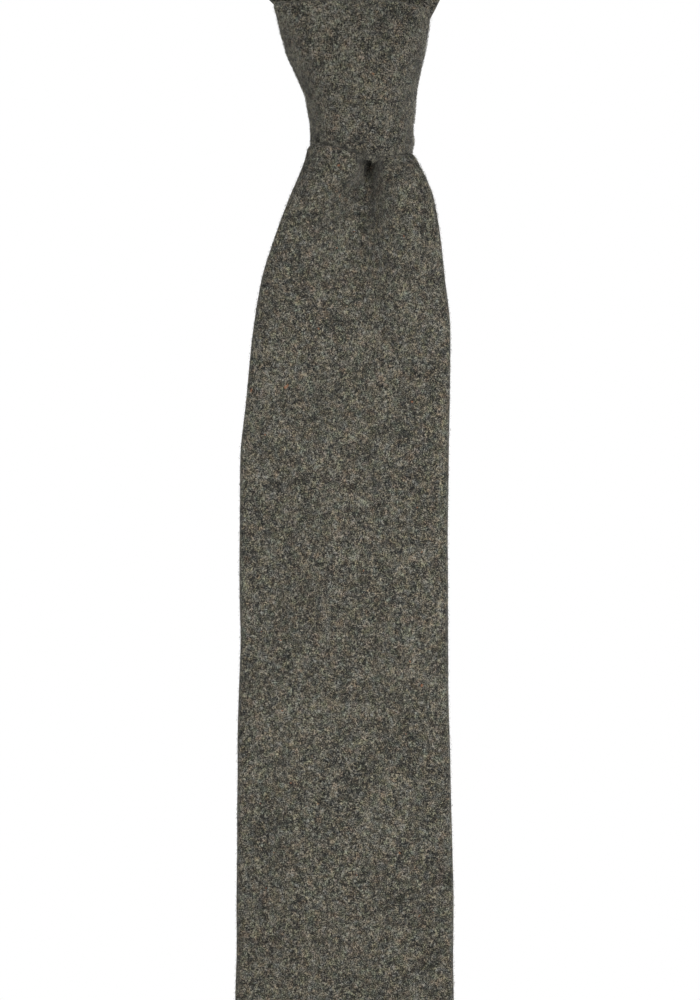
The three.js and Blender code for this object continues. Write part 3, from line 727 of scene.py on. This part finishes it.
def neck_band(material):
    rows = band_stations()
    place, number = centripetal(rows[:, :3], 9)
    value = Table("i x y z width thickness lean", [(i, *row) for i, row in enumerate(rows)])
    along = unit(way_along(place))
    level = place * [1 / neck_half_width**2, 1 / neck_half_depth**2, 0]
    lean = np.radians(value("lean", number))[:, None]
    facing = unit(level) * np.cos(lean) + np.array([0, 0, 1]) * np.sin(lean)
    across = unit(np.cross(facing, along))
    outward = unit(np.cross(along, across))
    half = value("width", number) / 2
    thickness = value("thickness", number)
    strip = {"left": -half, "right": half, "thickness": thickness, "lap": half * BAND_LAP}
    x, y = folded_lines(strip, (6, 7, 18))
    y = y + 0.16 * np.sin(number[:, None] * 2.1 + x / 5)
    grid = place[:, None] + across[:, None] * x[..., None] + outward[:, None] * y[..., None]
    return rounded_sheet("neck_band_cloth", grid, CLOTH, material)


def keeper_line():
    """The keeper's line round the tail, seen from above, and where its sewn feet lie."""
    below = np.array([float(KEEPER_DROP)])
    tail, blade = tail_strip(below), blade_strip(below)
    half = max(tail["right"][0], -tail["left"][0]) + GAP * 2 + CLOTH / 2
    sewn_y = blade_y(below)[0] + blade["bow"][0] + BLADE_THICKNESS / 2 + GAP + CLOTH / 2
    loose_y = tail_y(below)[0] + TAIL_THICKNESS / 2 + CLOTH + GAP * 3 + CLOTH / 2
    radius = (loose_y - sewn_y) / 2
    inner, outer = half - radius, half + radius

    def bend(x, y, start, end):
        angle = np.radians(np.linspace(start, end, 10))
        return np.stack([x + radius * np.cos(angle), y + radius * np.sin(angle)], -1)

    def level(x, y):
        return np.stack([x, np.full(len(x), y)], -1)

    parts = [
        level(np.linspace(0, inner, 24)[:-1], loose_y),
        bend(inner, loose_y - radius, 90, 0),
        bend(outer, sewn_y + radius, 180, 270)[1:],
        level(np.linspace(outer, outer + KEEPER_FOOT, 6)[1:], sewn_y),
    ]
    right = np.concatenate(parts)
    return np.concatenate([(right * [-1, 1])[:0:-1], right]), sewn_y


def keeper_loop(material):
    line, _ = keeper_line()
    across = np.linspace(0.5, -0.5, 18) * (1 - CLOTH / KEEPER_HEIGHT)
    z = knot_base - KEEPER_DROP + across * KEEPER_HEIGHT
    grid = np.stack(np.broadcast_arrays(line[:, :1], line[:, 1:], z[None, :]), -1)
    return rounded_sheet("keeper_loop_cloth", grid, CLOTH, material, 6)


# Materials


class Nodes:
    """Short names for the nodes of one new material or world."""

    def __init__(self, name, kind=bpy.data.materials):
        self.owner = kind.new(name)
        self.owner.use_nodes = True
        self.tree = self.owner.node_tree
        self.tree.nodes.clear()

    def add(self, kind, links=(), **settings):
        node = self.tree.nodes.new(kind)
        for key, value in settings.items():
            setattr(node, key, value)
        for key, value in dict(links).items():
            socket = node.inputs[key]
            if isinstance(value, bpy.types.NodeSocket):
                self.tree.links.new(value, socket)
            else:
                socket.default_value = value
        return node

    def math(self, operation, a, b=0.0, c=0.0):
        return self.add("ShaderNodeMath", {0: a, 1: b, 2: c}, operation=operation).outputs[0]

    def ramp(self, value, low, high, to_low=0.0, to_high=1.0):
        links = {0: value, 1: low, 2: high, 3: to_low, 4: to_high}
        return self.add("ShaderNodeMapRange", links, clamp=True).outputs[0]

    def mix(self, share, a, b, blend="MIX"):
        links = {0: share, 6: a, 7: b}
        return self.add("ShaderNodeMix", links, data_type="RGBA", blend_type=blend).outputs[2]

    def noise(self, vector, scale, detail=2.0, rough=0.5):
        links = {"Vector": vector, "Scale": scale, "Detail": detail, "Roughness": rough}
        return self.add("ShaderNodeTexNoise", links).outputs[0]

    def turned(self, vector, turn, scale=(1, 1, 1)):
        """The vector turned and scaled, so that a noise on it can make short fibres one way."""
        links = {"Vector": vector, "Rotation": turn, "Scale": scale}
        return self.add("ShaderNodeMapping", links, vector_type="TEXTURE").outputs[0]

    def place(self):
        return self.add("ShaderNodeTexCoord").outputs["Object"]

    def bump(self, strength, distance, height):
        links = {"Strength": strength, "Distance": distance, "Height": height}
        return self.add("ShaderNodeBump", links).outputs[0]

    def surface(self, links):
        """Ends the material with a shader that has these inputs."""
        shader = self.add("ShaderNodeBsdfPrincipled", links)
        self.add("ShaderNodeOutputMaterial", {"Surface": shader.outputs[0]})
        return self.owner


def shade(*srgb):
    """A shader's colour from sRGB values of 0 to 255."""
    shares = (c / 255 for c in srgb)
    return (*(c / 12.92 if c <= 0.04045 else ((c + 0.055) / 1.055) ** 2.4 for c in shares), 1)


# The fibres laid one way: turn in the cloth's plane in degrees, tilt out of it, length and spacing.
STRANDS = (
    (14, 0.2, 1.9, 0.42),
    (49, -0.3, 1.7, 0.4),
    (86, 0.25, 1.8, 0.42),
    (118, -0.2, 1.6, 0.38),
    (157, 0.35, 2, 0.44),
)

# How strongly patches of each size, in noise cells a metre, lighten or darken the wool.
PATCHES = ((3200.0, 1.5), (1150.0, 0.5), (260.0, 0.28), (60.0, 0.09))

# The greys of the wool from the deepest gap to the palest fibre.
GREYS = (
    (0, (14, 14, 14)),
    (0.28, (40, 40, 37)),
    (0.5, (75, 73.5, 65.5)),
    (0.72, (117, 113, 100)),
    (1, (210, 204, 184)),
)

# Tints of olive, slate, green and brown: noise cells a metre, start and end of the ramp, and factor.
TINTS = (
    (620, 0.42, 0.62, (1.07, 0.99, 0.885)),
    (740, 0.46, 0.66, (0.93, 0.995, 1.12)),
    (540, 0.48, 0.66, (0.95, 1.035, 0.945)),
    (450, 0.52, 0.7, (1.085, 0.97, 0.95)),
)


def flannel(name, gain, soft=0.28):
    """Milled wool: pale curly fibres laid every way over a darker felt, in warmer and cooler greys."""
    n = Nodes(name)
    place = n.place()
    wander = n.add("ShaderNodeTexNoise", {"Vector": place, "Scale": 650.0, "Detail": 1.0}).outputs["Color"]
    links = {0: wander, 1: (0.0018, 0.0018, 0.0018), 2: place}
    bent = n.add("ShaderNodeVectorMath", links, operation="MULTIPLY_ADD").outputs[0]
    fibres = None
    for i, (degrees, tilt, length, spacing) in enumerate(STRANDS):
        size = (length * MM, spacing * MM, spacing * MM)
        noise = n.noise(n.turned(bent, (tilt, math.radians(degrees), 0.3 * i), size), 1.0, 0.0)
        line = n.ramp(n.math("ABSOLUTE", n.math("SUBTRACT", noise, 0.5)), 0.055, 0.0)
        seen = n.ramp(n.noise(n.turned(place, (0, 1.1 * i, 0.4)), 850.0, 1.0), 0.42, 0.6)
        strand = n.math("MULTIPLY", line, seen)
        fibres = strand if fibres is None else n.math("MAXIMUM", fibres, strand)
    felt = 0.0
    for scale, weight in PATCHES:
        felt = n.math("MULTIPLY_ADD", n.noise(place, scale, 2.0), weight, felt)
    middle = sum(weight for _, weight in PATCHES) / 2
    felt = n.ramp(felt, middle - soft, middle + soft)
    level = n.math("MULTIPLY_ADD", fibres, 0.6, n.math("MULTIPLY", felt, 0.8))
    ramp = n.add("ShaderNodeValToRGB", {0: level})
    stops = ramp.color_ramp.elements
    for i, (position, grey) in enumerate(GREYS):
        stop = stops[i] if i < 2 else stops.new(position)
        stop.position = position
        stop.color = shade(*(gain * c for c in grey))
    colour = ramp.outputs[0]
    for i, (scale, low, high, tint) in enumerate(TINTS):
        share = n.ramp(n.noise(n.turned(place, (0, 0.7 * i, 0.3)), scale, 1.0), low, high)
        colour = n.mix(share, colour, (*tint, 1), "MULTIPLY")
    rust = n.ramp(n.noise(n.turned(place, (0, 1.9, 0)), 700.0, 0.0), 0.868, 0.88, 0.0, 0.6)
    colour = n.mix(rust, colour, shade(150, 100, 70))
    height = n.math("ADD", n.math("MULTIPLY", fibres, 0.7), n.math("MULTIPLY", felt, 0.4))
    links = {
        "Base Color": colour,
        "Roughness": n.ramp(felt, 0.0, 1.0, 0.98, 0.88),
        "Normal": n.bump(0.6, 0.3 * MM, height),
        "Sheen Weight": 0.16,
        "Sheen Roughness": 0.55,
        "Specular IOR Level": 0.15,
    }
    return n.surface(links)


def fibre_material(name, pale, dark):
    """Loose fibres that stand off the cloth: each one has its own grey."""
    n = Nodes(name)
    place = n.place()
    level = n.math("ADD", n.noise(place, 800.0, 1.0), n.noise(place, 260.0, 1.0))
    level = n.ramp(level, 0.78, 1.22)
    colour = n.mix(level, shade(*dark), shade(*pale))
    links = {"Base Color": colour, "Roughness": 0.9, "Sheen Weight": 0.2, "Specular IOR Level": 0.2}
    return n.surface(links)


def thread_material(name):
    """Twisted sewing thread."""
    n = Nodes(name)
    place = n.place()
    links = {"Vector": place, "Scale": 1800.0, "Distortion": 1.0}
    twist = n.add("ShaderNodeTexWave", links, bands_direction="DIAGONAL").outputs["Fac"]
    colour = n.mix(twist, shade(52, 51, 46), shade(84, 82, 74))
    return n.surface({"Base Color": colour, "Roughness": 0.6, "Normal": n.bump(0.4, 0.1 * MM, twist)})


# Loose fibres


def surface_samples(made, count, rng, keep):
    """Random points on an object's surface, with its normal there, in millimetres."""
    mesh = made.data
    mesh.calc_loop_triangles()
    corners = np.empty(len(mesh.loop_triangles) * 3, np.int32)
    mesh.loop_triangles.foreach_get("vertices", corners)
    points = np.empty(len(mesh.vertices) * 3)
    mesh.vertices.foreach_get("co", points)
    points = points.reshape(-1, 3) / MM
    triangles = points[corners.reshape(-1, 3)]
    normal = np.cross(triangles[:, 1] - triangles[:, 0], triangles[:, 2] - triangles[:, 0])
    weight = np.linalg.norm(normal, axis=1) / 2
    if keep is not None:
        weight = weight * keep(triangles.mean(1), unit(normal))
    chosen = rng.choice(len(weight), count, p=weight / weight.sum())
    a, b = rng.random(count), rng.random(count)
    flip = a + b > 1
    a[flip], b[flip] = 1 - a[flip], 1 - b[flip]
    corner, one, other = np.moveaxis(triangles[chosen], 1, 0)
    points = corner + a[:, None] * (one - corner) + b[:, None] * (other - corner)
    return points, unit(normal)[chosen]


def slivers(name, root, normal, way, length, lift, width, rng, material):
    """Wool fibres through the root points: closed slivers, each bent once, that lie along the cloth."""
    count = len(root)
    tangent = unit(np.cross(normal, way))
    size = rng.uniform(*length, count)[:, None]
    rise = rng.uniform(*lift, count)[:, None]
    side = unit(np.cross(normal, tangent))
    bend = rng.normal(0, 0.3, (count, 1)) * size / 2
    start = root - tangent * size / 2 - side * bend - normal * 0.05
    end = root + tangent * size / 2 - side * bend + normal * rise * rng.uniform(-0.1, 1.2, (count, 1))
    middle = root + normal * rise + side * bend
    half = width / 2 * rng.uniform(0.6, 1.4, (count, 1))
    points = [start]
    for k in range(3):
        angle = 2 * math.pi * k / 3
        points.append(middle + half * (side * math.cos(angle) + normal * math.sin(angle)))
    points.append(end)
    pattern = [(0, 2, 1), (0, 3, 2), (0, 1, 3), (4, 1, 2), (4, 2, 3), (4, 3, 1)]
    faces = (np.arange(count) * 5)[:, None, None] + np.array(pattern)[None]
    return mesh_object(name, np.stack(points, 1).reshape(-1, 3), faces.reshape(-1, 3), material)


def fuzz(name, made, count, seed, material, keep, length=(0.7, 2.0), lift=(0.05, 0.35), width=0.07):
    """Loose fibres all over an object's surface, or the part of it that keep picks."""
    rng = np.random.default_rng(seed)
    root, normal = surface_samples(made, count // FEWER, rng, keep)
    way = unit(rng.normal(size=root.shape))
    return slivers(name, root, normal, way, length, lift, width, rng, material)


def hem_fibres(name, count, seed, material):
    """Fibres felted across the line where the wrap's hem lies on the blade."""
    rng = np.random.default_rng(seed)
    count = count // FEWER
    degrees = rng.uniform(183, 357, count)
    cos, sin = np.cos(np.radians(degrees)), np.sin(np.radians(degrees))
    edge = wrap_grid(degrees, np.zeros(1), np.zeros((1, 1)))[:, 0]
    root = edge + np.stack([0 * cos, 0 * cos, rng.normal(-0.1, 0.65, count)], -1)
    normal = unit(np.stack([cos * 0.6, sin - 0.4, 0 * cos], -1))
    root = root - normal * rng.uniform(-0.05, 0.2, (count, 1))
    way = unit(np.cross(normal, [0, 0, 1]) + rng.normal(0, 0.6, (count, 3)))
    return slivers(name, root, normal, way, (1.2, 2.8), (0.02, 0.2), 0.12, rng, material)


# Stitches

THREAD_RADIUS = 0.17
THREAD_END = 0.55
THREAD_SIDES = 6
STITCH_PITCH = 9


def threads(name, paths):
    """Short lengths of thread, each a closed tube along its own points."""
    points, faces, base, sides = [], [], 0, THREAD_SIDES
    for path in paths:
        path = np.asarray(path, float)
        ahead = unit(way_along(path))
        reference = [0, 1, 0] if abs(ahead[0][1]) < 0.8 else [1, 0, 0]
        one = unit(np.cross(ahead, reference))
        two = np.cross(ahead, one)
        for k, centre in enumerate(path):
            radius = THREAD_RADIUS * (THREAD_END if k in (0, len(path) - 1) else 1.0)
            for s in range(sides):
                angle = 2 * math.pi * s / sides
                points.append(centre + radius * (one[k] * math.cos(angle) + two[k] * math.sin(angle)))
        rows = len(path)
        for k in range(rows - 1):
            for s in range(sides):
                t = (s + 1) % sides
                a, b = base + k * sides, base + (k + 1) * sides
                faces += [(a + s, a + t, b + t), (a + s, b + t, b + s)]
        first, last = base, base + (rows - 1) * sides
        for s in range(1, sides - 1):
            faces += [(first, first + s + 1, first + s), (last, last + s, last + s + 1)]
        base += rows * sides
    return mesh_object(name, points, faces, thread)


def arch(a, b, out, rise):
    """A stitch from a to b that stands off the cloth by rise, with its ends a little way in the cloth."""
    a, b, out = (np.asarray(v, float) for v in (a, b, out))
    path = []
    for t in np.linspace(0, 1, 6):
        lift = rise * math.sin(math.pi * t) - 0.1 * (t in (0.0, 1.0))
        path.append(lerp(a, b, t) + out * lift)
    return path


def back_stitches(name, strip, face_y, start, width, drop, thickness, tack):
    """Slip stitches down a strip's back, and a bar of close stitches where its flaps part."""
    parting = drop - width / 2 - HEM_OPENING
    paths = []
    for below in np.arange(start, parting - 6, STITCH_PITCH):
        at = np.array([below])
        shape = strip(at)
        edge = (shape["right"] + shape["left"] + shape["lap"])[0] / 2
        back = face_y(at)[0] + shape["thickness"][0] / 2 + (CLOTH + GAP) * shape["lifted"][0]
        z = knot_base - below
        first, last = (edge - 0.5, back, z), (edge + 0.9, back - 0.9, z - 1.2)
        paths.append(arch(first, last, (0.35, 0.94, 0), 0.25))
    middle = FLAP_OVERLAP / 2 - 1
    y = face_y(np.array([parting]))[0] + thickness / 2 + CLOTH + GAP
    z = knot_base - parting
    paths.append([(middle + lerp(-tack / 2, tack / 2, t), y + 0.25, z) for t in np.linspace(0, 1, 8)])
    for k in np.linspace(-0.46, 0.46, 15):
        x = middle + k * tack
        paths.append(arch((x, y - 0.05, z + 0.75), (x + 0.12, y - 0.05, z - 0.75), (0, 1, 0), 0.5))
    return threads(name, paths)


def foot_stitches(name):
    """Short stitches down both feet of the keeper."""
    line, sewn_y = keeper_line()
    x, y = line[-1][0] - KEEPER_FOOT * FOOT_SEAM, sewn_y + CLOTH / 2
    paths = []
    for side in (-1, 1):
        for k in np.linspace(-0.42, 0.42, 8):
            z = knot_base - KEEPER_DROP + k * KEEPER_HEIGHT
            paths.append(arch((side * x, y, z + 0.55), (side * x, y, z - 0.55), (0, 1, 0), 0.2))
    return threads(name, paths)


# The tie

blade_cloth = flannel("blade_flannel", 0.71)
knot_cloth = flannel("knot_flannel", 0.71, 0.22)
back_cloth = flannel("back_flannel", 0.7)
pale = fibre_material("loose_fibre_pale", (172, 168, 150), (84, 82, 73))
dark = fibre_material("loose_fibre_dark", (66, 64, 57), (24, 24, 22))
thread = thread_material("sewing_thread")

pieces = {
    "wide_blade": wide_blade(blade_cloth),
    "narrow_tail": narrow_tail(back_cloth),
    "knot_wrap": knot_wrap(knot_cloth),
    "knot_strap": knot_strap(knot_cloth),
    "neck_band": neck_band(back_cloth),
    "keeper_loop": keeper_loop(back_cloth),
}

EDGE_FIBRES = {"length": (0.4, 1.4), "lift": (0.1, 0.5), "width": 0.05}
FACING_FRONT = -0.15
FACING_BACK = 0.3
SIDEWAYS = 0.6
DIMPLE_WALL = 0.85
DIMPLE_END = 22


def low_part(place):
    return place[:, 2] < knot_base + 1


def blade_front(place, normal):
    return low_part(place) & (normal[:, 1] < FACING_FRONT)


def blade_edges(place, normal):
    return low_part(place) & (np.abs(normal[:, 0]) > SIDEWAYS)


def blade_back(place, normal):
    return low_part(place) & (normal[:, 1] > FACING_BACK)


# The dimple's walls under the knot. Pale fibres lie here as on the rest of the blade, and extra dark fibres
# are massed here as painted shade, deepening the pit beyond what its shape gives.
def dimple(place, normal):
    walls = (place[:, 2] > knot_base - DIMPLE_END) & (normal[:, 1] > -DIMPLE_WALL)
    return blade_front(place, normal) & walls


def outer_wrap(place, normal):
    return normal[:, 0] * (place[:, 0] - KNOT_ASIDE) + normal[:, 1] * (place[:, 1] - knot_middle_y) > 0


def wrap_sides(place, normal):
    return outer_wrap(place, normal) & (np.abs(normal[:, 0]) > SIDEWAYS)


# Each node's loose fibres, with the dark fibres massed in the dimple as painted shade: name, count, seed,
# material, part of the surface and its unusual measures.
FUZZ = {
    "wide_blade": [
        ("dimple_fibres_pale", 1500, 15, pale, dimple, {"lift": (0.1, 0.5)}),
        # Painted shade: many more dark fibres than pale ones, to darken the pit's walls.
        ("dimple_fibres_painted_shade", 2600, 16, dark, dimple, {"lift": (0.1, 0.5)}),
        ("blade_fibres_pale", 26500, 11, pale, blade_front, {}),
        ("blade_fibres_dark", 19500, 12, dark, blade_front, {"width": 0.08}),
        ("blade_edge_fibres", 8000, 13, pale, blade_edges, EDGE_FIBRES),
        ("blade_back_fibres", 7500, 14, pale, blade_back, {}),
    ],
    "knot_wrap": [
        ("wrap_fibres_pale", 6000, 21, pale, outer_wrap, {"length": (0.5, 1.8)}),
        ("wrap_fibres_dark", 4500, 22, dark, outer_wrap, {"length": (0.5, 1.8), "width": 0.08}),
        ("wrap_side_fibres", 3000, 25, pale, wrap_sides, {"length": (0.6, 2.0), "lift": (0.1, 0.5)}),
    ],
    "knot_strap": [("strap_fibres", 2000, 31, pale, None, {})],
    "neck_band": [("band_fibres", 9000, 41, pale, None, {})],
    "narrow_tail": [("tail_fibres", 8000, 51, pale, None, {})],
    "keeper_loop": [("keeper_fibres", 900, 61, pale, None, {})],
}
fibres = {}
for node, rows in FUZZ.items():
    fibres[node] = [
        fuzz(name, pieces[node], count, seed, material, keep, **measures)
        for name, count, seed, material, keep, measures in rows
    ]
    if node == "knot_wrap":
        hem = ("hem_fibres_pale", 1100, 23, pale), ("hem_fibres_dark", 1300, 24, dark)
        fibres[node] += [hem_fibres(*row) for row in hem]

blade = ("blade_seam_stitches", blade_strip, blade_y, 70, BLADE_WIDTH, BLADE_DROP, BLADE_THICKNESS, 7)
tail = ("tail_seam_stitches", tail_strip, tail_y, 20, TAIL_WIDTH, TAIL_DROP, TAIL_THICKNESS, 5.5)
stitches = {
    "wide_blade": [back_stitches(*blade)],
    "narrow_tail": [back_stitches(*tail)],
    "keeper_loop": [foot_stitches("keeper_stitches")],
}

# The flat size and area of each sheet in metres, how it is held, and what it rests on.
SHEETS = {
    "wide_blade": ((0.135, 0.455), 0.052, "hung", ["knot_strap_cloth"]),
    "narrow_tail": ((0.088, 0.37), 0.0235, "hung", ["neck_band_cloth"]),
    "knot_wrap": ((0.038, 0.098), 0.0031, "folded", ["neck_band_cloth"]),
    "knot_strap": ((0.02, 0.08), None, "folded", ["neck_band_cloth"]),
    "neck_band": ((0.066, 0.46), 0.026, "draped", []),
    "keeper_loop": ((0.014, 0.065), None, "folded", ["wide_blade_cloth"]),
}
for node, piece in pieces.items():
    extra = fibres[node] + stitches.get(node, [])
    for made in (piece, *extra):
        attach(made, "root")
    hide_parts(node)
    flat, area, held, rests_on = SHEETS[node]
    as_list(rests_on)

# Stage, light and camera

# The picture's scale and size, the pixel column of the tie's middle, and the height of its top edge.
PIXEL = 0.26 * MM
PICTURE = (700, 1000)
MIDDLE_PIXEL = 344
PICTURE_TOP = -33.8 * MM
CAMERA_DISTANCE = 1.6
SENSOR = 24

FLOOR_RADIUS = 1.05
FLOOR_SIDES = 96
floor_z = (knot_base - BLADE_DROP) * MM - 0.06
floor_mesh = bpy.data.meshes.new("floor")
turns = np.linspace(0, 2 * math.pi, FLOOR_SIDES + 1)[:-1]
rim = [(FLOOR_RADIUS * math.cos(turn), FLOOR_RADIUS * math.sin(turn), floor_z) for turn in turns]
floor_mesh.from_pydata(rim, [], [tuple(range(FLOOR_SIDES))])
floor = linked("floor", floor_mesh)
floor_look = {"Base Color": (0.82, 0.82, 0.81, 1), "Roughness": 0.9}
floor_mesh.materials.append(Nodes("pale_floor").surface(floor_look))

# The camera sees a white world, which lights the tie only a little.
AMBIENT = 0.3
studio = Nodes("studio", bpy.data.worlds)
backdrop, ambient = (
    studio.add("ShaderNodeBackground", {"Color": (1, 1, 1, 1), "Strength": strength}).outputs[0]
    for strength in (1, AMBIENT)
)
seen = studio.add("ShaderNodeLightPath").outputs["Is Camera Ray"]
either = studio.add("ShaderNodeMixShader", {0: seen, 1: ambient, 2: backdrop}).outputs[0]
studio.add("ShaderNodeOutputWorld", {"Surface": either})
bpy.context.scene.world = studio.owner


def area_light(name, place, size, power, spread=180, target=(0, -0.09, -0.2)):
    data = bpy.data.lights.new(name, "AREA")
    data.shape = "DISK"
    data.size = size
    data.energy = power
    data.spread = math.radians(spread)
    lamp = linked(name, data)
    lamp.location = place
    lamp.rotation_euler = (Vector(target) - Vector(place)).to_track_quat("-Z", "Y").to_euler()


area_light("key", (0.33, -0.48, -0.16), 0.27, 0.62, 90)
area_light("fill", (-0.315, -0.47, -0.14), 0.27, 0.335, 90)
area_light("top", (0.2, -0.7, 1.0), 0.6, 2.0)
area_light("behind", (0.3, 1.1, 0.2), 0.6, 14, target=(0, 0, -0.2))

camera_data = bpy.data.cameras.new("camera")
camera = linked("camera", camera_data)
camera_data.sensor_fit = "VERTICAL"
camera_data.sensor_height = SENSOR
camera_data.lens = SENSOR * CAMERA_DISTANCE / (PIXEL * PICTURE[1])
camera_data.clip_start = 0.05
camera.location = (
    (PICTURE[0] / 2 - MIDDLE_PIXEL) * PIXEL,
    wrap_front_y * MM - CAMERA_DISTANCE,
    PICTURE_TOP - PIXEL * PICTURE[1] / 2,
)
camera.rotation_euler = (math.pi / 2, 0, 0)
scene = bpy.context.scene
scene.camera = camera
scene.view_settings.view_transform = "Standard"
scene.view_settings.look = "None"
